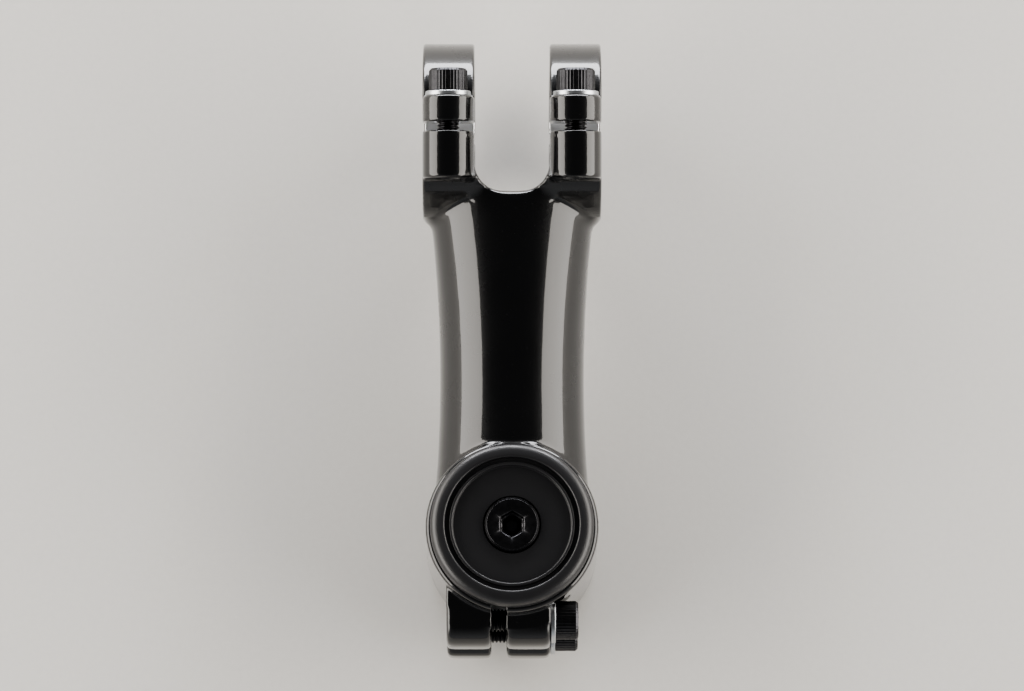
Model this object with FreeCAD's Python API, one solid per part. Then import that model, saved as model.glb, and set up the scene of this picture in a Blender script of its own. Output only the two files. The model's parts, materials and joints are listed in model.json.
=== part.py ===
import FreeCAD, Part
import math
import os

# Handlebar stem with two separate clamp straps, in millimetres.
# +Z runs up the steerer, +Y forward to the handlebar and +X to the rider's right.
# The origin is the centre of the steerer bore at the collar's lower face.

# ---- What the stem fits ----
steerer_diameter = 28.6
bar_diameter = 31.8
stem_length = 90.0  # from the steerer's axis to the handlebar's, along the extension
rise_angle = 7.0  # degrees above square to the steerer

# ---- Steerer collar ----
collar_height = 40.0
collar_wall = 4.7
collar_edge = 1.2  # rounding of its two outer edges
land_height = 14.0  # each end of the bore grips over this height
relief_depth = 0.5  # the middle of the bore is this much deeper

# ---- Extension, a hollow tapering tube ----
rear_inset = 1.0  # the tube's rear is this much narrower than the collar, each side
rear_shoulder = 3.5  # and this much lower than the collar, above and below
front_width = 34.0
front_drop = 1.0  # the tube is this much less high where its flare starts than at the rear
flare_drop = 3.0  # and this much less where its flare ends
flare_start = 30.0  # behind the bar's axis, where the tube starts to widen to the arms
flare_end = 13.0
flare_inset = 0.9  # the tube's widest place lies this far inside the arms' outer faces
extension_wall = 3.2  # the least, above and below the hollow's front end
hollow_inset = 1.5  # the hollow is at least this much smaller in radius than the steerer bore
nose_wall = 11.0  # from the bar bore back to where the hollow is full width
nose_taper = 6.0
window_diameter = 12.0  # hole from the hollow through the bar saddle
root_fillet = 1.6

# ---- Bar clamp ----
clamp_wall = 4.1
clamp_width = 39.5
strap_width = 11.5
split_gap = 2.0  # between the straps and the body
saddle_lip = 2.4  # the notch between the arms stops this far short of the bore's depth
notch_corner = 6.0
ear_margin = 0.1  # each ear is rounder than half its arm by this much less
body_ear_depth = 10.4
strap_ear_depth = 5.8
bolt_bore_wall = 3.1  # metal between the bar bore and a screw's shank
edge_softening = 0.6

# ---- Lugs and slit behind the collar ----
slit_width = 3.2
slit_offset = 2.9  # the slit lies this far left of the middle
left_lug_thickness = 10.0
right_lug_thickness = 9.9
lug_radius = 6.0
lug_bore_wall = 2.7  # metal between the steerer bore and a screw's shank
lug_waist_radius = 6.0  # of the hollow between the two screws, seen from the side
lug_waist_depth = 3.2
pinch_spacing = 20.0
seat_clearance = 0.6  # round a washer, where a seat is cut for it

# ---- M5 socket-head screws and their washers ----
m5_diameter = 5.0
m5_head_diameter = 8.5
m5_head_height = 5.0
m5_hex = 4.0
m5_hex_depth = 2.6
bar_bolt_length = 18.0
pinch_bolt_length = 22.0
washer_diameter = 10.0
washer_thickness = 1.0
washer_clearance = 0.15
thread_clearance = 0.05  # radial, where a shank turns in its tapped hole
hole_clearance = 0.25  # radial, where a shank passes through
shank_point = 0.1  # chamfer at a shank's end, as a share of its diameter
socket_point = 0.25  # depth of the drilled point under a socket, as a share of its width
washer_chamfer = 0.2  # of a washer's upper rim, as a share of its thickness

# ---- Top cap and its M6 screw ----
cap_inset = 1.0  # the cap's rim lies this far inside the collar's outside
cap_height = 4.4
cap_edge = 2.6  # rounding of the outer rim
rim_width = 3.3
groove_width = 0.9
groove_depth = 1.6
lip_width = 0.8
lip_drop = 0.6  # the lip lies this far below the rim
disc_drop = 1.9  # and the sunken disc this far
register_depth = 2.0
register_clearance = 0.3
register_wall = 2.0
m6_diameter = 6.0
m6_head_diameter = 12.0
m6_head_height = 2.6
m6_head_rounding = 0.7
m6_hex = 5.0
m6_hex_depth = 1.9
m6_length = 25.0
m6_hole_clearance = 0.3
m6_seat_floor = 0.9  # above the cap's lower face
m6_seat_clearance = 0.3

# ---- Worked out from the dimensions above ----
steerer_radius = steerer_diameter / 2
collar_radius = steerer_radius + collar_wall
bar_radius = bar_diameter / 2
clamp_radius = bar_radius + clamp_wall
strap_x = (clamp_width - strap_width) / 2
arm_gap = clamp_width - 2 * strap_width
ear_radius = strap_width / 2 - ear_margin
m5_radius = m5_diameter / 2
bar_bolt_z = bar_radius + bolt_bore_wall + m5_radius
bar_seat_y = split_gap / 2 + strap_ear_depth
notch_y = -(bar_radius - saddle_lip)
washer_radius = washer_diameter / 2
pinch_y = -(steerer_radius + lug_bore_wall + m5_radius)
pinch_z = {
    "lower": (collar_height - pinch_spacing) / 2,
    "upper": (collar_height + pinch_spacing) / 2,
}
slit_left = -slit_offset - slit_width / 2
slit_right = -slit_offset + slit_width / 2
lug_left = slit_left - left_lug_thickness
lug_right = slit_right + right_lug_thickness
rear_width = 2 * (collar_radius - rear_inset)
rear_height = collar_height - 2 * rear_shoulder
front_height = rear_height - front_drop
flare_height = rear_height - flare_drop
hollow_radius = min(front_height / 2 - extension_wall, steerer_radius - hollow_inset)
cap_radius = collar_radius - cap_inset
far = 2 * stem_length  # longer than any cut needs

tolerance = 1e-4  # how near an edge lies to the place where it is looked for

ORIGIN = FreeCAD.Vector(0, 0, 0)
X_AXIS = FreeCAD.Vector(1, 0, 0)
Y_AXIS = FreeCAD.Vector(0, 1, 0)
Z_AXIS = FreeCAD.Vector(0, 0, 1)
SIDES = {"left": -1, "right": 1}
LEVELS = {"lower": -1, "upper": 1}


def bar_frame():
    """Place a shape drawn about the bar's axis, with Y along the extension, on the stem."""
    rotation = FreeCAD.Rotation(X_AXIS, rise_angle)
    start = FreeCAD.Vector(0, 0, collar_height / 2)
    return FreeCAD.Placement(start + rotation.multVec(FreeCAD.Vector(0, stem_length, 0)), rotation)


def on_stem(shape):
    """Move a shape from the bar's frame to the stem's."""
    moved = shape.copy()
    moved.Placement = bar_frame().multiply(shape.Placement)
    return moved


def cylinder(radius, length, x, y, z, direction):
    """A cylinder that starts at a point and runs along a direction."""
    return Part.makeCylinder(radius, length, FreeCAD.Vector(x, y, z), direction)


def block(low, high):
    """A box between its lowest and highest corners."""
    size = [high[i] - low[i] for i in range(3)]
    return Part.makeBox(*size, FreeCAD.Vector(*low))


def end_edges(solid, axis, place):
    """The edges of a solid that lie in the plane at this place along an axis (0, 1 or 2)."""
    found = []
    for edge in solid.Edges:
        box = edge.BoundBox
        low = (box.XMin, box.YMin, box.ZMin)[axis]
        high = (box.XMax, box.YMax, box.ZMax)[axis]
        if abs(low - place) < tolerance and abs(high - place) < tolerance:
            found.append(edge)
    return found


def oval(width, height, y):
    """A closed oval wire square to Y."""
    circle = Part.Wire(Part.makeCircle(1, ORIGIN, Y_AXIS)).toNurbs()
    matrix = FreeCAD.Matrix()
    matrix.scale(width / 2, 1, height / 2)
    matrix.move(FreeCAD.Vector(0, y, 0))
    return Part.Wire(circle.transformGeometry(matrix).Edges)


def revolved(profile):
    """A solid turned about Z from (radius, height) corners."""
    points = [FreeCAD.Vector(r, 0, z) for r, z in profile]
    face = Part.Face(Part.makePolygon(points + points[:1]))
    return face.revolve(ORIGIN, Z_AXIS, 360)


def ears(y_start, y_end, radius, rounded_end):
    """Four round-topped ears round the bar screws, in the bar's frame."""
    solids = []
    for side in SIDES.values():
        for level in LEVELS.values():
            x = side * strap_x
            low_z, high_z = sorted((0, level * bar_bolt_z))
            foot = block((x - radius, y_start, low_z), (x + radius, y_end, high_z))
            crown = cylinder(radius, y_end - y_start, x, y_start, level * bar_bolt_z, Y_AXIS)
            ear = foot.fuse(crown).removeSplitter()
            solids.append(ear.makeFillet(edge_softening, end_edges(ear, 1, rounded_end)))
    return solids


def extension():
    """The outside of the extension, from the steerer's axis to the arms, in the bar's frame."""
    sections = [
        oval(rear_width, rear_height, -stem_length),
        oval(front_width, front_height, -flare_start),
        oval(clamp_width - 2 * flare_inset, flare_height, -flare_end),
    ]
    return Part.makeLoft(sections, True, False)


def hollow():
    """The space inside the extension, open to the steerer bore and through the bar saddle."""
    front = -(bar_radius + nose_wall - nose_taper)
    back = front - nose_taper
    tube = cylinder(hollow_radius, stem_length + back, 0, -stem_length, 0, Y_AXIS)
    nose = Part.makeCone(
        hollow_radius, window_diameter / 2, nose_taper, FreeCAD.Vector(0, back, 0), Y_AXIS
    )
    window = cylinder(window_diameter / 2, -front, 0, front, 0, Y_AXIS)
    return tube.multiFuse([nose, window])


def notch():
    """The space between the two arms, in the bar's frame."""
    half = arm_gap / 2
    slot = block((-half, notch_y, -far), (half, far, far))
    corners = [edge for edge in end_edges(slot, 1, notch_y) if edge.Length > far]
    return slot.makeFillet(notch_corner, corners)


def clamp_ring():
    """The solid cylinder that both halves of the bar clamp are cut from, about the bar's axis."""
    ring = cylinder(clamp_radius, clamp_width, -clamp_width / 2, 0, 0, X_AXIS)
    rims = end_edges(ring, 0, -clamp_width / 2) + end_edges(ring, 0, clamp_width / 2)
    return ring.makeFillet(edge_softening, rims)


def bar_bore():
    """The space the handlebar fills."""
    return cylinder(bar_radius, 2 * clamp_width, -clamp_width, 0, 0, X_AXIS)


def bar_screw_holes(radius, y_start, y_end):
    """Holes for the four bar screws."""
    return [
        cylinder(radius, y_end - y_start, side * strap_x, y_start, level * bar_bolt_z, Y_AXIS)
        for side in SIDES.values()
        for level in LEVELS.values()
    ]


def clamp_half():
    """The extension with the body's half of the bar clamp, not yet hollowed, in the bar's frame."""
    split = -split_gap / 2
    ring = clamp_ring().common(block((-far, -far, -far), (far, split, far)))
    body = extension().fuse(ring)
    body = body.multiFuse(ears(split - body_ear_depth, split, ear_radius, split - body_ear_depth))
    return body.removeSplitter()


def collar():
    """The collar round the steerer, before its bore."""
    solid = cylinder(collar_radius, collar_height, 0, 0, 0, Z_AXIS)
    rims = end_edges(solid, 2, 0) + end_edges(solid, 2, collar_height)
    return solid.makeFillet(collar_edge, rims)


def lugs():
    """The two lugs behind the collar as one block, rounded over each pinch screw and waisted between."""
    width = lug_right - lug_left
    back = pinch_y - lug_radius
    middle = block((lug_left, back, pinch_z["lower"]), (lug_right, 0, pinch_z["upper"]))
    foot = block(
        (lug_left, pinch_y, pinch_z["lower"] - lug_radius),
        (lug_right, 0, pinch_z["upper"] + lug_radius),
    )
    rounds = [cylinder(lug_radius, width, lug_left, pinch_y, z, X_AXIS) for z in pinch_z.values()]
    solid = middle.multiFuse([foot] + rounds).removeSplitter()
    sides = end_edges(solid, 0, lug_left) + end_edges(solid, 0, lug_right)
    outer = [edge for edge in sides if edge.BoundBox.YMax < -edge_softening]
    solid = solid.makeFillet(edge_softening, outer)
    waist_y = back + lug_waist_depth - lug_waist_radius
    return solid.cut(cylinder(lug_waist_radius, far, -stem_length, waist_y, collar_height / 2, X_AXIS))


def steerer_bore():
    """The bore with its shallow relief between two lands."""
    bore = cylinder(steerer_radius, 2 * far, 0, 0, -far, Z_AXIS)
    relief_height = collar_height - 2 * land_height
    relief = cylinder(steerer_radius + relief_depth, relief_height, 0, 0, land_height, Z_AXIS)
    return bore.fuse(relief)


def pinch_cuts():
    """Tapped and clearance holes for the pinch screws, and the round seats for their washers."""
    cuts = []
    for z in pinch_z.values():
        cuts.append(cylinder(m5_radius + thread_clearance, far, -far, pinch_y, z, X_AXIS))
        cuts.append(cylinder(m5_radius + hole_clearance, far, slit_right, pinch_y, z, X_AXIS))
        cuts.append(cylinder(washer_radius + seat_clearance, far, lug_right, pinch_y, z, X_AXIS))
    return cuts


def seam_edges(solid):
    """The edges where the extension's flowing surface meets the collar and the clamp ring."""
    found = []
    for edge in solid.Edges:
        kinds = {face.Surface.TypeId for face in solid.ancestorsOfType(edge, Part.Face)}
        if kinds == {"Part::GeomBSplineSurface", "Part::GeomCylinder"}:
            found.append(edge)
    return found


def stem_body():
    """The forged body: collar, lugs, extension and the rear half of the bar clamp."""
    body = on_stem(clamp_half()).multiFuse([collar(), lugs()]).removeSplitter().Solids[0]
    body = body.makeFillet(root_fillet, seam_edges(body))
    slit = block((slit_left, -far, -far), (slit_right, -steerer_radius / 2, far))
    split = -split_gap / 2
    bar_cuts = [bar_bore(), notch(), hollow()]
    bar_cuts += bar_screw_holes(m5_radius + thread_clearance, split - 2 * body_ear_depth, 0)
    cuts = [steerer_bore(), slit] + pinch_cuts() + [on_stem(cut) for cut in bar_cuts]
    return body.cut(cuts).removeSplitter()


def strap(side):
    """One clamp strap, with an ear above and below and a round recess for each screw head."""
    low = side * strap_x - strap_width / 2
    high = low + strap_width
    split = split_gap / 2
    ring = cylinder(clamp_radius, strap_width, low, 0, 0, X_AXIS)
    ring = ring.makeFillet(edge_softening, end_edges(ring, 0, low) + end_edges(ring, 0, high))
    ring = ring.common(block((low, split, -far), (high, far, far)))
    own_ears = [
        ear for ear in ears(split, bar_seat_y, ear_radius, bar_seat_y) if ear.BoundBox.Center.x * side > 0
    ]
    solid = ring.multiFuse(own_ears).removeSplitter()
    cuts = [bar_bore()] + bar_screw_holes(m5_radius + hole_clearance, 0, far)
    cuts += bar_screw_holes(washer_radius + seat_clearance / 2, bar_seat_y, far)
    return on_stem(solid.cut(cuts).removeSplitter())


def hexagon(across_flats, depth, top):
    """A hexagonal socket that ends in a drilled point, cut down from a height on Z."""
    corner = across_flats / math.sqrt(3)
    points = [
        FreeCAD.Vector(corner * math.cos(math.radians(60 * i)), corner * math.sin(math.radians(60 * i)), top)
        for i in range(6)
    ]
    prism = Part.Face(Part.makePolygon(points + points[:1])).extrude(FreeCAD.Vector(0, 0, -depth))
    floor = FreeCAD.Vector(0, 0, top - depth)
    point = Part.makeCone(across_flats / 2, 0, socket_point * across_flats, floor, -Z_AXIS)
    return prism.fuse(point)


def socket_screw(diameter, length, head_diameter, head_height, hex_size, hex_depth, rounding):
    """A screw along Z with the underside of its head at the origin and its head above."""
    head = cylinder(head_diameter / 2, head_height, 0, 0, 0, Z_AXIS)
    head = head.makeFillet(rounding, end_edges(head, 2, head_height))
    shank = cylinder(diameter / 2, length, 0, 0, -length, Z_AXIS)
    shank = shank.makeChamfer(shank_point * diameter, end_edges(shank, 2, -length))
    return head.fuse(shank).cut(hexagon(hex_size, hex_depth, head_height)).removeSplitter()


def washer():
    """A flat washer along Z, from the origin up."""
    ring = cylinder(washer_radius, washer_thickness, 0, 0, 0, Z_AXIS)
    ring = ring.makeChamfer(washer_chamfer * washer_thickness, end_edges(ring, 2, washer_thickness))
    return ring.cut(cylinder(m5_radius + washer_clearance, 2 * washer_thickness, 0, 0, 0, Z_AXIS))


def along(shape, x, y, z, direction):
    """Turn a shape drawn along Z to a direction, and move its origin to a point."""
    turned = shape.copy()
    turned.Placement = FreeCAD.Placement(
        FreeCAD.Vector(x, y, z), FreeCAD.Rotation(Z_AXIS, direction)
    )
    return turned


def cap_profile():
    """The cap's section as (radius, height) corners, from its lower face."""
    rim_inner = cap_radius - rim_width
    lip_outer = rim_inner - groove_width
    lip_inner = lip_outer - lip_width
    lip_top = cap_height - lip_drop
    disc_top = cap_height - disc_drop
    seat = m6_head_diameter / 2 + m6_seat_clearance
    register = steerer_radius - register_clearance
    hole = m6_diameter / 2 + m6_hole_clearance
    return [
        (hole, m6_seat_floor),
        (seat, m6_seat_floor),
        (seat, disc_top),
        (lip_inner, disc_top),
        (lip_inner, lip_top),
        (lip_outer, lip_top),
        (lip_outer, cap_height - groove_depth),
        (rim_inner, cap_height - groove_depth),
        (rim_inner, cap_height),
        (cap_radius, cap_height),
        (cap_radius, 0),
        (register, 0),
        (register, -register_depth),
        (register - register_wall, -register_depth),
        (register - register_wall, 0),
        (seat, 0),
        (seat, -register_depth),
        (hole, -register_depth),
    ]


def top_cap():
    """The cap over the steerer, with its rim, groove, lip, sunken disc and screw seat."""
    cap = revolved(cap_profile())
    rim = [
        edge
        for edge in end_edges(cap, 2, cap_height)
        if abs(edge.BoundBox.XMax - cap_radius) < tolerance
    ]
    cap = cap.makeFillet(cap_edge, rim)
    return along(cap, 0, 0, collar_height, Z_AXIS)


def cap_bolt():
    """The screw that draws the cap down onto the collar."""
    screw = socket_screw(
        m6_diameter, m6_length, m6_head_diameter, m6_head_height, m6_hex, m6_hex_depth, m6_head_rounding
    )
    return along(screw, 0, 0, collar_height + m6_seat_floor, Z_AXIS)


def m5_screw(length):
    """An M5 socket-head screw."""
    return socket_screw(
        m5_diameter, length, m5_head_diameter, m5_head_height, m5_hex, m5_hex_depth, edge_softening
    )


def nodes():
    """Every piece of the stem, by name."""
    made = {"stem_body": stem_body(), "top_cap": top_cap(), "cap_bolt": cap_bolt()}
    for side_name, side in SIDES.items():
        made[f"{side_name}_strap"] = strap(side)
        for level_name, level in LEVELS.items():
            x = side * strap_x
            z = level * bar_bolt_z
            name = f"{level_name}_{side_name}"
            head_y = bar_seat_y + washer_thickness
            made[f"bar_washer_{name}"] = on_stem(along(washer(), x, bar_seat_y, z, Y_AXIS))
            made[f"bar_bolt_{name}"] = on_stem(along(m5_screw(bar_bolt_length), x, head_y, z, Y_AXIS))
    for level_name, z in pinch_z.items():
        head_x = lug_right + washer_thickness
        made[f"pinch_washer_{level_name}"] = along(washer(), lug_right, pinch_y, z, X_AXIS)
        made[f"pinch_bolt_{level_name}"] = along(m5_screw(pinch_bolt_length), head_x, pinch_y, z, X_AXIS)
    return made


def main():
    """Build every piece and write one STEP file for each."""
    os.makedirs("parts", exist_ok=True)
    for name, shape in nodes().items():
        solids = shape.Solids
        if len(solids) != 1 or not shape.isValid():
            raise ValueError(f"{name} has {len(solids)} solids, valid: {shape.isValid()}")
        solids[0].exportStep(f"parts/{name}.step")
        print(f"{name}: {shape.Volume:.0f} mm3")


main()
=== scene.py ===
import json
import math

import bmesh
import bpy
from mathutils import Matrix, Vector


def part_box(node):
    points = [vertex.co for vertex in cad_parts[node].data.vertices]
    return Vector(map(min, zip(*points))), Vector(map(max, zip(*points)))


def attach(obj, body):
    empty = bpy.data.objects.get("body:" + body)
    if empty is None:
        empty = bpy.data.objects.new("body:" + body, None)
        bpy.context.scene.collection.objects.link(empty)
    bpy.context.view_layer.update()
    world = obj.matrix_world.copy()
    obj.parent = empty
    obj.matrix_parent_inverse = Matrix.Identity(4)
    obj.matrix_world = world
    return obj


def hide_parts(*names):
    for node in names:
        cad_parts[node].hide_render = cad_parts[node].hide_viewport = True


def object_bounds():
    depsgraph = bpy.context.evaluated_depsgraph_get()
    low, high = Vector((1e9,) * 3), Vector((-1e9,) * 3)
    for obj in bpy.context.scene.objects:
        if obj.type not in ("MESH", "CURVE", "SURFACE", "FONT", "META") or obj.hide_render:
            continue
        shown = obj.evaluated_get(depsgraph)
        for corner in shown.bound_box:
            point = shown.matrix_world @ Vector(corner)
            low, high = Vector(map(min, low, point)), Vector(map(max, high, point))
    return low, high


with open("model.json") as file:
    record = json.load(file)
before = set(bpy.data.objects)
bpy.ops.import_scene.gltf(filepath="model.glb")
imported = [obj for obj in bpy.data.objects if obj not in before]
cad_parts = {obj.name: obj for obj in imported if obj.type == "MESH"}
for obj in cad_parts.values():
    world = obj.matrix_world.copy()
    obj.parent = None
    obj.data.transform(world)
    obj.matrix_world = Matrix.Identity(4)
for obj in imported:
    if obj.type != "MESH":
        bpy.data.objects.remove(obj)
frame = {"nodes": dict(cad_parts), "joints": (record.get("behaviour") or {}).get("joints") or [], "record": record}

bl_info = {
    "name": "Handlebar stem",
    "version": (1, 0, 0),
    "blender": (4, 5, 0),
    "location": "3D View > Sidebar > Stem",
    "description": "Enamelled body, straps, screws, washers, cap and studio for a two-strap stem",
    "category": "Object",
}

MM = 0.001

# Sizes that the frame doesn't hold: each screw's shank radius, hexagon socket and bevel round the head
M5_SCREW = {"radius": 2.5 * MM, "hex": 4.0 * MM, "hex_depth": 2.6 * MM, "bevel": 0.55 * MM}
CAP_SCREW = {"radius": 3.0 * MM, "hex": 5.0 * MM, "hex_depth": 1.9 * MM, "bevel": 0.6 * MM}
WASHER_HOLE = 2.65 * MM
STAMPED_EDGE = 0.16 * MM  # the rounding on a washer's edges

# The cap's turned rings, from the rim inwards, as widths and as depths under the rim
RIM_WIDTH = 3.3 * MM
RIM_ROUNDING = 2.6 * MM
GROOVE_WIDTH = 0.9 * MM
GROOVE_DEPTH = 1.6 * MM
LIP_WIDTH = 0.8 * MM
LIP_DEPTH = 0.6 * MM
DISC_DEPTH = 1.9 * MM
TURNED_EDGE = 0.2 * MM

# The seat under the cap screw's head, its hole, and the ring that centres the cap in the steerer's bore
SEAT_RADIUS = 6.3 * MM
SEAT_HEIGHT = 0.9 * MM
CAP_HOLE = 3.3 * MM
REGISTER_RADIUS = 14.0 * MM
REGISTER_WALL = 2.0 * MM

# The notch between the arms ends this far ahead of the bar's back, and its corners have this radius
SADDLE_LIP = 2.4 * MM
NOTCH_CORNER = 6.0 * MM

# Rounds of easing at the notch: how far forward each goes, how near the rim it keeps, and what part of
# the passes it gets. Later rounds are wider and stay further back, so the easing fades along the arms.
NOTCH_ROUNDS = ((-9.5 * MM, 2.5 * MM, 4), (-11 * MM, 3.5 * MM, 4), (-12.5 * MM, 4.5 * MM, 1))

# How far the bare bores reach past their mounts' radius, and each bore's half-length
BORE_MARGIN = 0.15 * MM
BORE_HALF_LENGTHS = {"handlebar_clamp": 19.5 * MM, "steerer_clamp": 39.2 * MM}

CAMERA_LENS = 262

# A Mix node has sockets for each kind of value, and these are the ones for colours
FIRST_COLOUR, SECOND_COLOUR, MIXED_COLOUR = 6, 7, 2

JOINTS = {joint["name"]: joint for joint in frame["joints"]}
MOUNTS = {mount["name"]: mount for mount in frame["record"]["mounts"]}
CAD_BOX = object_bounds()
CLAMP_SCREWS = [f"bar_bolt_{level}_{side}" for side in ("left", "right") for level in ("lower", "upper")]
CLAMP_SCREWS += ["pinch_bolt_lower", "pinch_bolt_upper"]


# ---- Colours and nodes ----


def linear(hex_colour):
    """An sRGB hex colour as linear red, green, blue and alpha."""
    channels = [int(hex_colour[i : i + 2], 16) / 255 for i in (1, 3, 5)]
    curve = [c / 12.92 if c <= 0.04045 else ((c + 0.055) / 1.055) ** 2.4 for c in channels]
    return (*curve, 1.0)


def add(tree, kind, values=None, **settings):
    """Add a node with its settings. Each input takes a value, an output or a node's first output."""
    made = tree.nodes.new(kind)
    for name, value in settings.items():
        setattr(made, name, value)
    for socket, value in (values or {}).items():
        if isinstance(value, bpy.types.Node):
            value = value.outputs[0]
        if isinstance(value, bpy.types.NodeSocket):
            tree.links.new(value, made.inputs[socket])
        else:
            made.inputs[socket].default_value = value
    return made


def new_material(name):
    """An empty node material, its tree and the object coordinates that every pattern is drawn in."""
    material = bpy.data.materials.new(name)
    material.use_nodes = True
    tree = material.node_tree
    tree.nodes.clear()
    place = add(tree, "ShaderNodeTexCoord").outputs["Object"]
    return material, tree, place


def along_axis(tree, place, point, axis):
    """How far a place lies along an axis through a point, and how far from that axis, in metres."""
    offset = add(tree, "ShaderNodeVectorMath", {0: place, 1: point}, operation="SUBTRACT")
    travel = add(tree, "ShaderNodeVectorMath", {0: offset, 1: axis}, operation="DOT_PRODUCT")
    cross = add(tree, "ShaderNodeVectorMath", {0: offset, 1: axis}, operation="CROSS_PRODUCT")
    radius = add(tree, "ShaderNodeVectorMath", {0: cross}, operation="LENGTH")
    return travel.outputs["Value"], radius.outputs["Value"]


def within(tree, value, low, high, edge):
    """1 where a value lies between two limits, with soft edges."""
    start = {"Value": value, "From Min": low - edge, "From Max": low + edge}
    stop = {"Value": value, "From Min": high - edge, "From Max": high + edge, "To Min": 1.0, "To Max": 0.0}
    rise = add(tree, "ShaderNodeMapRange", start)
    fall = add(tree, "ShaderNodeMapRange", stop)
    return add(tree, "ShaderNodeMath", {0: rise, 1: fall}, operation="MULTIPLY")


def rings(tree, travel, pitch):
    """A wave that repeats at a tool's feed along an axis, from 0 to 1."""
    turns = add(tree, "ShaderNodeMath", {0: travel, 1: 2 * math.pi / pitch}, operation="MULTIPLY")
    wave = add(tree, "ShaderNodeMath", {0: turns}, operation="SINE")
    return add(tree, "ShaderNodeMath", {0: wave, 1: 0.5, 2: 0.5}, operation="MULTIPLY_ADD")


# ---- Materials ----


def turned_aluminium(tree, travel, place):
    """Aluminium 6061 left bare by a boring bar: bright, with fine rings that stretch each highlight."""
    # The real feed is about 0.12 mm, too fine to show, so it is drawn at 0.35 mm.
    lines = rings(tree, travel, 0.35 * MM)
    grain = add(tree, "ShaderNodeTexNoise", {"Vector": place, "Scale": 1 / (0.5 * MM)})
    values = {
        "Base Color": linear("#c9cacb"),
        "Metallic": 1.0,
        "Roughness": add(tree, "ShaderNodeMapRange", {"Value": grain, "To Min": 0.26, "To Max": 0.38}),
        "Normal": add(tree, "ShaderNodeBump", {"Height": lines, "Distance": 0.004 * MM}),
    }
    return add(tree, "ShaderNodeBsdfPrincipled", values)


def enamel_on_forged_aluminium(look, bores):
    """Gloss stoving enamel over a forged aluminium body, with its bores left bare from the boring bar.

    Enamel flows before it sets, so it is a deep black mirror with a faint orange peel, and it shows
    the forging under it only as slow waves. Bores are points, axes, radii and half-lengths.
    """
    material, tree, place = new_material("gloss_enamel_on_forged_aluminium")
    peel = add(tree, "ShaderNodeTexNoise", {"Vector": place, "Scale": 1 / (1.6 * MM), "Detail": 1.0})
    forging = add(tree, "ShaderNodeTexNoise", {"Vector": place, "Scale": 1 / (9.0 * MM), "Detail": 1.0})
    waves = add(tree, "ShaderNodeMath", {0: peel, 1: 0.3, 2: forging}, operation="MULTIPLY_ADD")
    hazes = {"Vector": place, "Scale": 1 / (14.0 * MM), "Detail": 4.0, "Roughness": 0.6}
    haze = add(tree, "ShaderNodeTexNoise", hazes)
    dust = add(tree, "ShaderNodeTexNoise", {"Vector": place, "Scale": 1 / (0.35 * MM), "Detail": 1.0})
    specks = within(tree, dust, 0.76, 2.0, 0.02)
    faint = add(tree, "ShaderNodeMath", {0: specks, 1: 0.25}, operation="MULTIPLY")
    tones = {"Factor": faint, FIRST_COLOUR: tuple(look.enamel), SECOND_COLOUR: linear("#4a4a4c")}
    tone = add(tree, "ShaderNodeMix", tones, data_type="RGBA")
    values = {
        "Base Color": tone.outputs[MIXED_COLOUR],
        "Metallic": 0.0,
        "Roughness": add(tree, "ShaderNodeMapRange", {"Value": haze, "To Min": 0.18, "To Max": 0.34}),
        "IOR": 1.5,
        "Specular IOR Level": 0.2,
        "Coat Weight": 1.0,
        "Coat Roughness": 0.055,
        "Coat IOR": 1.52,
        "Normal": add(tree, "ShaderNodeBump", {"Height": waves, "Distance": 0.005 * MM}),
        "Coat Normal": add(tree, "ShaderNodeBump", {"Height": waves, "Distance": 0.005 * MM}),
    }
    surface = add(tree, "ShaderNodeBsdfPrincipled", values)
    fray = add(tree, "ShaderNodeTexNoise", {"Vector": place, "Scale": 1 / (0.8 * MM)})
    for point, axis, radius, half_length in bores:
        travel, reach = along_axis(tree, place, point, axis)
        ragged = add(tree, "ShaderNodeMath", {0: fray, 1: 0.08 * MM, 2: reach}, operation="MULTIPLY_ADD")
        inside = within(tree, ragged, -1.0, radius, 0.01 * MM)
        beside = within(tree, travel, -half_length, half_length, 0.01 * MM)
        mask = add(tree, "ShaderNodeMath", {0: inside, 1: beside}, operation="MULTIPLY")
        bare = turned_aluminium(tree, travel, place)
        surface = add(tree, "ShaderNodeMixShader", {0: mask, 1: surface, 2: bare})
    add(tree, "ShaderNodeOutputMaterial", {"Surface": surface})
    return material


def black_oxide_steel(look):
    """Alloy steel in hot black oxide: a thin blue-black skin over metal, oily and a little uneven."""
    material, tree, place = new_material("black_oxide_alloy_steel")
    mottles = {"Vector": place, "Scale": 1 / (1.1 * MM), "Detail": 5.0, "Roughness": 0.6}
    mottle = add(tree, "ShaderNodeTexNoise", mottles)
    fine = add(tree, "ShaderNodeTexNoise", {"Vector": place, "Scale": 1 / (0.22 * MM)})
    tones = {"Factor": mottle, FIRST_COLOUR: tuple(look.oxide), SECOND_COLOUR: linear("#4a4a4c")}
    tone = add(tree, "ShaderNodeMix", tones, data_type="RGBA")
    values = {
        "Base Color": tone.outputs[MIXED_COLOUR],
        "Metallic": 1.0,
        "Roughness": add(tree, "ShaderNodeMapRange", {"Value": mottle, "To Min": 0.22, "To Max": 0.36}),
        "Normal": add(tree, "ShaderNodeBump", {"Height": fine, "Distance": 0.004 * MM}),
    }
    surface = add(tree, "ShaderNodeBsdfPrincipled", values)
    add(tree, "ShaderNodeOutputMaterial", {"Surface": surface})
    return material


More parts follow.
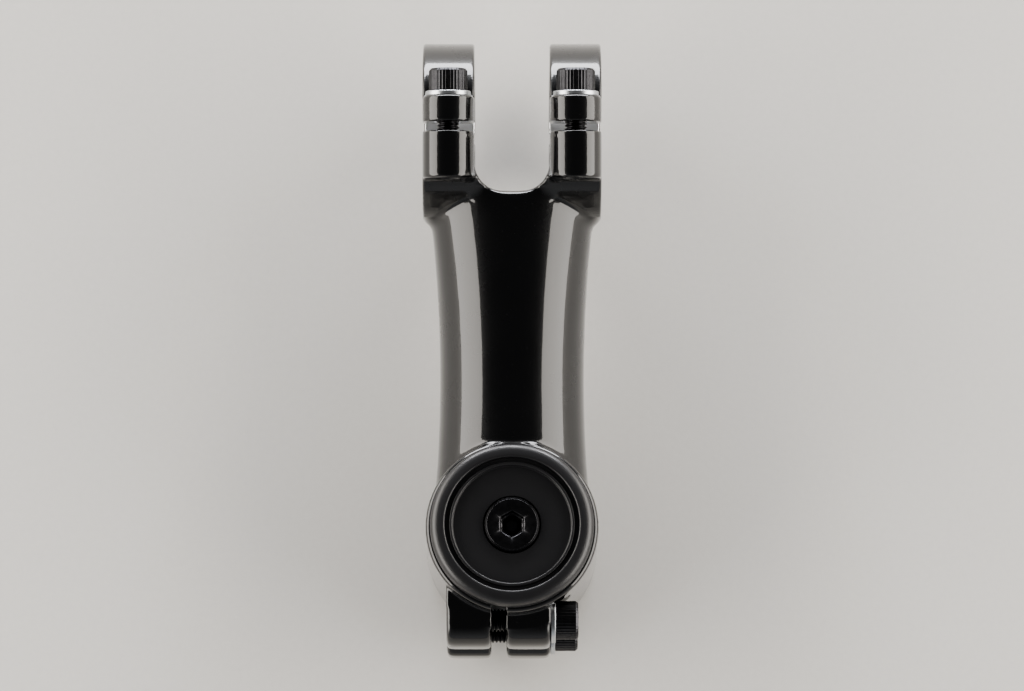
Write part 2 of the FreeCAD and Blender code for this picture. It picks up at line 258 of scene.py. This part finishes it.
def zinc_plated_steel():
    """Stamped steel washers in bright zinc: pale metal with a soft spangle."""
    material, tree, place = new_material("bright_zinc_on_stamped_steel")
    spangle = add(tree, "ShaderNodeTexNoise", {"Vector": place, "Scale": 1 / (0.9 * MM), "Detail": 3.0})
    values = {
        "Base Color": linear("#c4c7ca"),
        "Metallic": 1.0,
        "Roughness": add(tree, "ShaderNodeMapRange", {"Value": spangle, "To Min": 0.22, "To Max": 0.38}),
        "Normal": add(tree, "ShaderNodeBump", {"Height": spangle, "Distance": 0.003 * MM}),
    }
    surface = add(tree, "ShaderNodeBsdfPrincipled", values)
    add(tree, "ShaderNodeOutputMaterial", {"Surface": surface})
    return material


def anodised_aluminium(look, point, axis):
    """A turned cap, bead-blasted and dyed in black anodising: satin, with faint rings from the lathe."""
    material, tree, place = new_material("black_anodised_turned_aluminium")
    reach = along_axis(tree, place, point, axis)[1]
    # The lathe's feed is about 0.1 mm and is drawn at 0.4 mm, so that its rings show.
    lines = rings(tree, reach, 0.4 * MM)
    blast = add(tree, "ShaderNodeTexNoise", {"Vector": place, "Scale": 1 / (0.25 * MM)})
    cloud = add(tree, "ShaderNodeTexNoise", {"Vector": place, "Scale": 1 / (5.0 * MM), "Detail": 4.0})
    texture = add(tree, "ShaderNodeMath", {0: lines, 1: 0.5, 2: blast}, operation="MULTIPLY_ADD")
    values = {
        "Base Color": tuple(look.anodising),
        "Metallic": 0.0,
        "IOR": 1.6,
        "Roughness": add(tree, "ShaderNodeMapRange", {"Value": cloud, "To Min": 0.33, "To Max": 0.4}),
        "Normal": add(tree, "ShaderNodeBump", {"Height": texture, "Distance": 0.006 * MM}),
    }
    surface = add(tree, "ShaderNodeBsdfPrincipled", values)
    add(tree, "ShaderNodeOutputMaterial", {"Surface": surface})
    return material


def studio_floor(look):
    """A sheet of matt pale card."""
    material, tree, place = new_material("matt_pale_card")
    fibre = add(tree, "ShaderNodeTexNoise", {"Vector": place, "Scale": 1 / (1.5 * MM), "Detail": 4.0})
    faint = add(tree, "ShaderNodeMath", {0: fibre, 1: 0.3}, operation="MULTIPLY")
    tones = {"Factor": faint, FIRST_COLOUR: tuple(look.floor), SECOND_COLOUR: linear("#c4c2be")}
    tone = add(tree, "ShaderNodeMix", tones, data_type="RGBA")
    values = {
        "Base Color": tone.outputs[MIXED_COLOUR],
        "Roughness": 0.85,
        "Normal": add(tree, "ShaderNodeBump", {"Height": fibre, "Distance": 0.02 * MM}),
    }
    surface = add(tree, "ShaderNodeBsdfPrincipled", values)
    add(tree, "ShaderNodeOutputMaterial", {"Surface": surface})
    return material


# ---- Shapes ----


def link(name, mesh, material, body, node):
    """Show a mesh as one piece that rides on a body and stands for a CAD node."""
    piece = bpy.data.objects.new(name, mesh)
    bpy.context.scene.collection.objects.link(piece)
    mesh.materials.clear()
    mesh.materials.append(material)
    mesh.polygons.foreach_set("use_smooth", [True] * len(mesh.polygons))
    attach(piece, body)
    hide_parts(node)


def turning(screw):
    """A screw's axis of turning, as a point on it and its direction."""
    joint = JOINTS[f"{screw}_turn"]
    return Vector(joint["pos_m"]), Vector(joint["axis"]).normalized()


def measured(node, point, axis):
    """Where a CAD node starts and ends along an axis through a point, and its largest radius there."""
    travels = []
    radius = 0.0
    for vertex in frame["nodes"][node].data.vertices:
        offset = vertex.co - point
        travel = offset.dot(axis)
        travels.append(travel)
        radius = max(radius, (offset - travel * axis).length)
    return min(travels), max(travels), radius


def rounded_profile(corners, steps=6):
    """Round each (radius, height, rounding) corner of a profile, and leave its two ends as they are."""
    spots = [Vector(corner[:2]) for corner in corners]
    backs = [0.0] * len(spots)
    for i in range(1, len(spots) - 1):
        half = (spots[i - 1] - spots[i]).angle(spots[i + 1] - spots[i]) / 2
        backs[i] = corners[i][2] / math.tan(half)
    points = [spots[0]]
    for i in range(1, len(spots) - 1):
        here = spots[i]
        back = backs[i]
        for j in (i - 1, i + 1):
            room = (spots[j] - here).length
            if backs[i] + backs[j] > room:
                back = min(back, room * backs[i] / (backs[i] + backs[j]))
        if back <= 0:
            points.append(here)
            continue
        start = here + (spots[i - 1] - here).normalized() * back
        end = here + (spots[i + 1] - here).normalized() * back
        for k in range(steps + 1):
            t = k / steps
            points.append(start * (1 - t) ** 2 + here * 2 * t * (1 - t) + end * t**2)
    return [*points, spots[-1]]


def skin_loops(bm, loops):
    """Join closed loops of equal length into one skin, with a fan at each end."""
    rows = [[bm.verts.new(co) for co in loop] for loop in loops]
    count = len(rows[0])
    for lower, upper in zip(rows, rows[1:]):
        for k in range(count):
            n = (k + 1) % count
            bm.faces.new((lower[k], lower[n], upper[n], upper[k]))
    for row, step in ((rows[0], -1), (rows[-1], 1)):
        centre = bm.verts.new(sum((v.co for v in row), Vector()) / count)
        for k in range(count):
            pair = (row[k], row[(k + 1) % count])
            bm.faces.new((*pair[::step], centre))


def circle_loop(radius, height, count, shape=None):
    """Points round Z at a height, with the radius scaled by a function of the angle."""
    loop = []
    for k in range(count):
        angle = 2 * math.pi * k / count
        r = radius * (shape(angle) if shape else 1.0)
        loop.append(Vector((r * math.cos(angle), r * math.sin(angle), height)))
    return loop


def placed_mesh(name, bm, point, axis):
    """Finish a mesh drawn round Z, and set it on an axis at a point."""
    turn = Vector((0, 0, 1)).rotation_difference(axis).to_matrix().to_4x4()
    bm.transform(Matrix.Translation(point) @ turn)
    bmesh.ops.remove_doubles(bm, verts=bm.verts, dist=1e-7)
    bmesh.ops.recalc_face_normals(bm, faces=bm.faces)
    mesh = bpy.data.meshes.new(name)
    bm.to_mesh(mesh)
    bm.free()
    return mesh


def turned_ring(name, corners, point, axis, segments=128):
    """A ring turned round an axis from a closed profile of (radius, height, rounding) corners."""
    bm = bmesh.new()
    closed = [corners[-1], *corners, corners[0]]
    profile = rounded_profile(closed)[1:-1]
    rows = [[bm.verts.new(co) for co in circle_loop(p.x, p.y, segments)] for p in profile]
    for lower, upper in zip(rows, rows[1:] + rows[:1]):
        for k in range(segments):
            n = (k + 1) % segments
            bm.faces.new((lower[k], lower[n], upper[n], upper[k]))
    return placed_mesh(name, bm, point, axis)


def hexagon_shape(angle):
    """The radius of a hexagon as a share of half its width across the flats."""
    sixth = math.pi / 3
    return 1 / math.cos((angle + sixth / 2) % sixth - sixth / 2)


def knurled(teeth, share):
    """A function that cuts straight knurls of this depth, as a share of the radius."""

    def shape(angle):
        place = (angle * teeth / (2 * math.pi)) % 1
        return 1 - share * abs(2 * place - 1)

    return shape


def screw_head(bm, shape, radius, height, knurl, segments=144):
    """A socket head round Z, its underside at 0, with knurls, a bevelled top and a hexagon socket."""
    grip = knurled(segments // 4, knurl / radius)
    bevel = shape["bevel"]
    flat = shape["hex"] / 2
    floor = height - shape["hex_depth"]
    mouth = height - 0.22 * MM
    lead = flat / math.cos(math.pi / 6) + 0.08 * MM
    collar = 0.15 * MM  # the plain ring under the knurls, narrower than they are by as much
    outside = rounded_profile(
        [
            (shape["radius"] * 0.6, 0.0, 0.0),
            (radius - collar, 0.0, 0.1 * MM),
            (radius, 0.2 * MM, 0.05 * MM),
            (radius, height - bevel, 0.25 * bevel),
            (radius - 0.8 * bevel, height, 0.3 * bevel),
            (lead, height, 0.0),
        ]
    )
    loops = []
    for p in outside:
        cut = p.x > radius - collar / 3 and collar < p.y < height - 0.8 * bevel
        loops.append(circle_loop(p.x, p.y, segments, grip if cut else None))
    loops.append(circle_loop(flat, mouth, segments, hexagon_shape))
    loops.append(circle_loop(flat, floor, segments, hexagon_shape))
    # The hexagon is broached into a drilled hole, whose point shows below it
    loops.append(circle_loop(0.98 * flat, floor - 0.04 * MM, segments))
    loops.append(circle_loop(0.25 * flat, floor - 0.4 * flat, segments))
    skin_loops(bm, loops)


def threaded_shank(bm, radius, length, pitch, rows_per_turn=12, segments=40):
    """A right-hand thread round Z, from under the head at 0 down to a chamfered point."""
    major = radius - 0.02 * MM
    depth = 0.55 * pitch
    chamfer = 0.8 * pitch
    rows = int(length / pitch * rows_per_turn)
    loops = [circle_loop(major, 0.5 * MM, segments)]
    for i in range(rows + 1):
        z = -length * i / rows
        tip = min(1.0, (length + z) / chamfer)
        run_in = min(1.0, -z / pitch)
        loop = []
        for k in range(segments):
            angle = 2 * math.pi * k / segments
            phase = (z / pitch - angle / (2 * math.pi)) % 1
            groove = min(1.0, max(0.0, 1.6 * (1 - abs(2 * phase - 1)) - 0.25))
            r = major - depth * max(groove * run_in, 1 - tip)
            loop.append(Vector((r * math.cos(angle), r * math.sin(angle), z)))
        loops.append(loop)
    skin_loops(bm, loops)


def screw_mesh(name, shape, seat, knurl, pitch):
    """A whole screw whose head stands this far along its axis, as high, wide and long as its CAD node."""
    point, axis = turning(name)
    under = point + axis * seat
    low, high, radius = measured(name, under, axis)
    bm = bmesh.new()
    screw_head(bm, shape, radius, high, knurl)
    threaded_shank(bm, shape["radius"], -low, pitch)
    return placed_mesh(name, bm, under, axis)


def modified(mesh, *modifiers, near=None):
    """A mesh with modifiers applied, given as (type, settings), to all of it or where a test picks."""
    blank = bpy.data.objects.new("blank", mesh)
    bpy.context.scene.collection.objects.link(blank)
    if near:
        picked = [vertex.index for vertex in mesh.vertices if near(vertex.co)]
        blank.vertex_groups.clear()
        blank.vertex_groups.new(name="near").add(picked, 1.0, "REPLACE")
    for kind, settings in modifiers:
        modifier = blank.modifiers.new(kind.lower(), kind)
        for name, value in settings.items():
            setattr(modifier, name, value)
        if near:
            modifier.vertex_group = "near"
    shaped = blank.evaluated_get(bpy.context.evaluated_depsgraph_get())
    result = bpy.data.meshes.new_from_object(shaped)
    bpy.data.objects.remove(blank)
    bpy.data.meshes.remove(mesh)
    return result


def softened(node, sizes):
    """A CAD node's mesh with every edge slightly rounded, as forging, deburring and paint leave it."""
    mesh = frame["nodes"][node].data.copy()
    bm = bmesh.new()
    bm.from_mesh(mesh)
    bmesh.ops.remove_doubles(bm, verts=bm.verts, dist=1e-6)
    bm.to_mesh(mesh)
    bm.free()
    grain = ("REMESH", {"mode": "VOXEL", "voxel_size": sizes.voxel})
    deburred = ("SMOOTH", {"factor": 0.5, "iterations": sizes.passes})
    return modified(mesh, grain, deburred)


def from_bar():
    """A function for how far a place lies ahead of the bar's axis and above it, as the extension runs."""
    centre = Vector(MOUNTS["handlebar_clamp"]["pos_m"])
    forward = Vector(JOINTS["left_strap_lift"]["axis"])
    upward = Vector((1, 0, 0)).cross(forward)
    return lambda place: ((place - centre).dot(forward), (place - centre).dot(upward))


def on_tube():
    """A test for places on the plain stretch of the extension, which has no edge to keep."""
    placed = from_bar()
    collar_edge = MOUNTS["steerer_clamp"]["dims"]["r_mm"] * MM + 8 * MM  # past the wall and its root
    arm_root = -19 * MM

    def near(place):
        return math.hypot(place.x, place.y) > collar_edge and placed(place)[0] < arm_root

    return near


def at_notch(front, reach):
    """A test for places this near the upper rim of the notch between the arms, and behind a limit."""
    placed = from_bar()
    half = -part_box("left_strap")[1][0]
    back = SADDLE_LIP - MOUNTS["handlebar_clamp"]["dims"]["r_mm"] * MM
    rear = -21 * MM
    lower_rim = 8 * MM  # the notch's other rim lies below this

    def near(place):
        ahead, above = placed(place)
        if not rear < ahead < front or above < lower_rim:
            return False
        across = abs(place.x)
        if ahead > back + NOTCH_CORNER:
            gap = abs(across - half)
        elif across < half - NOTCH_CORNER:
            gap = abs(ahead - back)
        else:
            turn = math.hypot(across - half + NOTCH_CORNER, ahead - back - NOTCH_CORNER)
            gap = abs(turn - NOTCH_CORNER)
        return gap < reach

    return near


# ---- Settings ----


class StemLook(bpy.types.PropertyGroup):
    """Colours of the finishes and the floor."""

    enamel: bpy.props.FloatVectorProperty(
        name="Enamel", description="Colour of the body and straps", subtype="COLOR", size=4,
        min=0, max=1, default=linear("#060607"),
    )
    oxide: bpy.props.FloatVectorProperty(
        name="Black oxide", description="Colour of the screws", subtype="COLOR", size=4,
        min=0, max=1, default=linear("#303032"),
    )
    anodising: bpy.props.FloatVectorProperty(
        name="Anodising", description="Colour of the top cap", subtype="COLOR", size=4,
        min=0, max=1, default=linear("#1c1c1e"),
    )
    floor: bpy.props.FloatVectorProperty(
        name="Floor", description="Colour of the card that the stem stands on", subtype="COLOR", size=4,
        min=0, max=1, default=linear("#dad8d4"),
    )


class StemSizes(bpy.types.PropertyGroup):
    """Sizes that the CAD model leaves to the finish."""

    voxel: bpy.props.FloatProperty(
        name="Grain", description="Size of the cells that the forged pieces are resampled in",
        subtype="DISTANCE", unit="LENGTH", default=0.3 * MM, min=0.1 * MM, max=2 * MM,
    )
    passes: bpy.props.IntProperty(
        name="Deburring", description="How many times the edges of the forged pieces are eased", default=8,
        min=0, max=60,
    )
    tube_passes: bpy.props.IntProperty(
        name="Tube", description="How many times more the plain stretch of the extension is evened out",
        default=90, min=0, max=400,
    )
    notch_passes: bpy.props.IntProperty(
        name="Notch", description="How many times more the rim between the arms is eased", default=120,
        min=0, max=400,
    )
    knurl: bpy.props.FloatProperty(
        name="Knurl depth", description="Depth of the straight knurls on the screw heads",
        subtype="DISTANCE", unit="LENGTH", default=0.14 * MM, min=0, max=1 * MM,
    )
    m5_pitch: bpy.props.FloatProperty(
        name="M5 pitch", description="Travel of a clamp screw in one turn",
        subtype="DISTANCE", unit="LENGTH", default=0.8 * MM, min=0.1 * MM,
    )
    m6_pitch: bpy.props.FloatProperty(
        name="M6 pitch", description="Travel of the cap screw in one turn",
        subtype="DISTANCE", unit="LENGTH", default=1.0 * MM, min=0.1 * MM,
    )
    camera_distance: bpy.props.FloatProperty(
        name="Camera distance", description="From the camera to the middle of the stem",
        subtype="DISTANCE", unit="LENGTH", default=1.65, min=0.2,
    )
    camera_elevation: bpy.props.FloatProperty(
        name="Camera elevation", description="Height of the camera as an angle above the floor",
        subtype="ANGLE", unit="ROTATION", default=math.radians(80.5), min=0, max=math.radians(90),
    )


# ---- Pieces ----


def stem_bores():
    """The two bores whose walls stay bare: point, axis, radius with its margin, and half-length."""
    bores = []
    for name, half_length in BORE_HALF_LENGTHS.items():
        mount = MOUNTS[name]
        radius = mount["dims"]["r_mm"] * MM + BORE_MARGIN
        bores.append((Vector(mount["pos_m"]), Vector(mount["axis"]), radius, half_length))
    return bores


class STEM_OT_body(bpy.types.Operator):
    """Make the enamelled body from the forged shape"""

    bl_idname = "stem.body"
    bl_label = "Body"

    def execute(self, context):
        sizes, look = context.scene.stem_sizes, context.scene.stem_look
        material = enamel_on_forged_aluminium(look, stem_bores())
        mesh = softened("stem_body", sizes)
        regions = [(sizes.tube_passes, on_tube())]
        for front, reach, share in NOTCH_ROUNDS:
            regions.append((sizes.notch_passes // share, at_notch(front, reach)))
        for passes, near in regions:
            mesh = modified(mesh, ("SMOOTH", {"factor": 0.5, "iterations": passes}), near=near)
        link("forged_body", mesh, material, "stem", "stem_body")
        return {"FINISHED"}


class STEM_OT_straps(bpy.types.Operator):
    """Make the two enamelled clamp straps"""

    bl_idname = "stem.straps"
    bl_label = "Straps"

    def execute(self, context):
        sizes = context.scene.stem_sizes
        material = bpy.data.materials["gloss_enamel_on_forged_aluminium"]
        for side in ("left", "right"):
            node = f"{side}_strap"
            mesh = softened(node, sizes)
            link(f"forged_{node}", mesh, material, node, node)
        return {"FINISHED"}


class STEM_OT_screws(bpy.types.Operator):
    """Make the M5 screws of the bar clamp and the collar"""

    bl_idname = "stem.screws"
    bl_label = "Clamp screws"

    def execute(self, context):
        settings, look = context.scene.stem_sizes, context.scene.stem_look
        material = black_oxide_steel(look)
        for name in CLAMP_SCREWS:
            seat = measured(name.replace("bolt", "washer"), *turning(name))[1]
            mesh = screw_mesh(name, M5_SCREW, seat, settings.knurl, settings.m5_pitch)
            link(f"{name}_screw", mesh, material, name, name)
        return {"FINISHED"}


class STEM_OT_washers(bpy.types.Operator):
    """Make the washers under the clamp screws"""

    bl_idname = "stem.washers"
    bl_label = "Washers"

    def execute(self, context):
        material = zinc_plated_steel()
        for screw in CLAMP_SCREWS:
            node = screw.replace("bolt", "washer")
            point, axis = turning(screw)
            low, high, radius = measured(node, point, axis)
            corners = [
                (WASHER_HOLE, low, STAMPED_EDGE),
                (radius, low, STAMPED_EDGE),
                (radius, high, 1.6 * STAMPED_EDGE),
                (WASHER_HOLE, high, STAMPED_EDGE),
            ]
            mesh = turned_ring(node, corners, point, axis)
            link(f"{node}_ring", mesh, material, node, node)
        return {"FINISHED"}


class STEM_OT_cap(bpy.types.Operator):
    """Make the turned top cap"""

    bl_idname = "stem.cap"
    bl_label = "Top cap"

    def execute(self, context):
        look = context.scene.stem_look
        point, axis = turning("cap_bolt")
        low, rim, radius = measured("top_cap", point, axis)
        material = anodised_aluminium(look, point, axis)
        groove, lip, disc = rim - GROOVE_DEPTH, rim - LIP_DEPTH, rim - DISC_DEPTH
        rim_inner = radius - RIM_WIDTH
        lip_outer = rim_inner - GROOVE_WIDTH
        lip_inner = lip_outer - LIP_WIDTH
        register_inner = REGISTER_RADIUS - REGISTER_WALL
        corners = [
            (CAP_HOLE, SEAT_HEIGHT, TURNED_EDGE),
            (SEAT_RADIUS, SEAT_HEIGHT, 0.0),
            (SEAT_RADIUS, disc, TURNED_EDGE),
            (lip_inner, disc, TURNED_EDGE),
            (lip_inner, lip, 1.9 * TURNED_EDGE),
            (lip_outer, lip, 1.9 * TURNED_EDGE),
            (lip_outer, groove, TURNED_EDGE),
            (rim_inner, groove, TURNED_EDGE),
            (rim_inner, rim, 3.0 * TURNED_EDGE),
            (radius, rim, RIM_ROUNDING),
            (radius, 0.0, TURNED_EDGE),
            (REGISTER_RADIUS, 0.0, 0.0),
            (REGISTER_RADIUS, low, TURNED_EDGE),
            (register_inner, low, TURNED_EDGE),
            (register_inner, 0.0, 0.0),
            (SEAT_RADIUS, 0.0, 0.0),
            (SEAT_RADIUS, low, TURNED_EDGE),
            (CAP_HOLE, low, TURNED_EDGE),
        ]
        mesh = turned_ring("top_cap", corners, point, axis, segments=192)
        link("turned_top_cap", mesh, material, "top_cap", "top_cap")
        return {"FINISHED"}


class STEM_OT_cap_screw(bpy.types.Operator):
    """Make the low-head M6 screw of the top cap"""

    bl_idname = "stem.cap_screw"
    bl_label = "Cap screw"

    def execute(self, context):
        settings = context.scene.stem_sizes
        material = bpy.data.materials["black_oxide_alloy_steel"]
        mesh = screw_mesh("cap_bolt", CAP_SCREW, SEAT_HEIGHT, 0.0, settings.m6_pitch)
        link("cap_bolt_screw", mesh, material, "cap_bolt", "cap_bolt")
        return {"FINISHED"}


def aimed(thing, place, target):
    """Set a light or camera at a place, looking at a target."""
    thing.location = place
    thing.rotation_euler = (target - place).to_track_quat("-Z", "Y").to_euler()


def softbox(name, place, target, width, height, power, colour):
    """A rectangular soft light."""
    light = bpy.data.lights.new(name, "AREA")
    light.shape = "RECTANGLE"
    light.size = width
    light.size_y = height
    light.energy = power
    light.color = linear(colour)[:3]
    lamp = bpy.data.objects.new(name, light)
    bpy.context.scene.collection.objects.link(lamp)
    lamp.visible_camera = False
    aimed(lamp, place, target)


class STEM_OT_stage(bpy.types.Operator):
    """Lay the floor, and set the lights, the sky and the camera"""

    bl_idname = "stem.stage"
    bl_label = "Studio"

    def execute(self, context):
        scene = context.scene
        settings, look = scene.stem_sizes, scene.stem_look
        low, high = (Vector(corner) for corner in CAD_BOX)
        middle = (low + high) / 2
        bpy.ops.mesh.primitive_grid_add(x_subdivisions=8, y_subdivisions=8, size=12)
        floor = context.object
        floor.name = "studio_floor"
        floor.location = (middle.x, middle.y, low.z)
        floor.data.materials.append(studio_floor(look))
        target = Vector((middle.x, middle.y, low.z))
        for side in (-1, 1):
            place = target + Vector((side * 1.0, 0.05, 0.44))
            beside = Vector((0, place.y, place.z))
            softbox(f"softbox_{side}", place, beside, width=1.8, height=0.84, power=25, colour="#fffaf3")
        ahead = target + Vector((0, 1.2, 0.24))
        behind = Vector((0, 0, ahead.z))
        softbox("softbox_ahead", ahead, behind, width=1.4, height=0.44, power=32, colour="#fcfcff")
        world = bpy.data.worlds.new("studio")
        world.use_nodes = True
        tree = world.node_tree
        tree.nodes.clear()
        direction = add(tree, "ShaderNodeTexCoord").outputs["Generated"]
        rise = add(tree, "ShaderNodeSeparateXYZ", {0: direction}).outputs["Z"]
        dimming = {"Value": rise, "From Min": 0.1, "From Max": 0.75, "To Min": 0.6, "To Max": 0.1}
        strength = add(tree, "ShaderNodeMapRange", dimming)
        sky = add(tree, "ShaderNodeBackground", {"Color": linear("#f2f3f5"), "Strength": strength})
        add(tree, "ShaderNodeOutputWorld", {"Surface": sky})
        scene.world = world
        scene.view_settings.look = "AgX - Medium High Contrast"
        camera = bpy.data.cameras.new("camera")
        camera.lens = CAMERA_LENS
        camera.clip_end = 50
        eye = bpy.data.objects.new("camera", camera)
        scene.collection.objects.link(eye)
        angle = settings.camera_elevation
        away = Vector((0, -math.cos(angle), math.sin(angle)))
        aimed(eye, middle + away * settings.camera_distance, middle)
        scene.camera = eye
        return {"FINISHED"}


class STEM_PT_panel(bpy.types.Panel):
    """Lists the stem's pieces and settings."""

    bl_label = "Handlebar stem"
    bl_idname = "STEM_PT_panel"
    bl_space_type = "VIEW_3D"
    bl_region_type = "UI"
    bl_category = "Stem"

    def draw(self, context):
        for group in (context.scene.stem_look, context.scene.stem_sizes):
            for name in group.bl_rna.properties.keys():
                if name not in ("rna_type", "name"):
                    self.layout.prop(group, name)
        for maker in OPERATORS:
            self.layout.operator(maker.bl_idname)


OPERATORS = (
    STEM_OT_body,
    STEM_OT_straps,
    STEM_OT_screws,
    STEM_OT_washers,
    STEM_OT_cap,
    STEM_OT_cap_screw,
    STEM_OT_stage,
)
CLASSES = (StemLook, StemSizes, *OPERATORS, STEM_PT_panel)


def register():
    """Add the settings, operators and panel to Blender."""
    for cls in CLASSES:
        bpy.utils.register_class(cls)
    bpy.types.Scene.stem_look = bpy.props.PointerProperty(type=StemLook)
    bpy.types.Scene.stem_sizes = bpy.props.PointerProperty(type=StemSizes)


def unregister():
    """Take the settings, operators and panel away again."""
    del bpy.types.Scene.stem_sizes
    del bpy.types.Scene.stem_look
    for cls in reversed(CLASSES):
        bpy.utils.unregister_class(cls)


def main():
    """Make every piece and the studio."""
    register()
    bpy.ops.stem.body()
    bpy.ops.stem.straps()
    bpy.ops.stem.screws()
    bpy.ops.stem.washers()
    bpy.ops.stem.cap()
    bpy.ops.stem.cap_screw()
    bpy.ops.stem.stage()


if __name__ == "__main__":
    main()
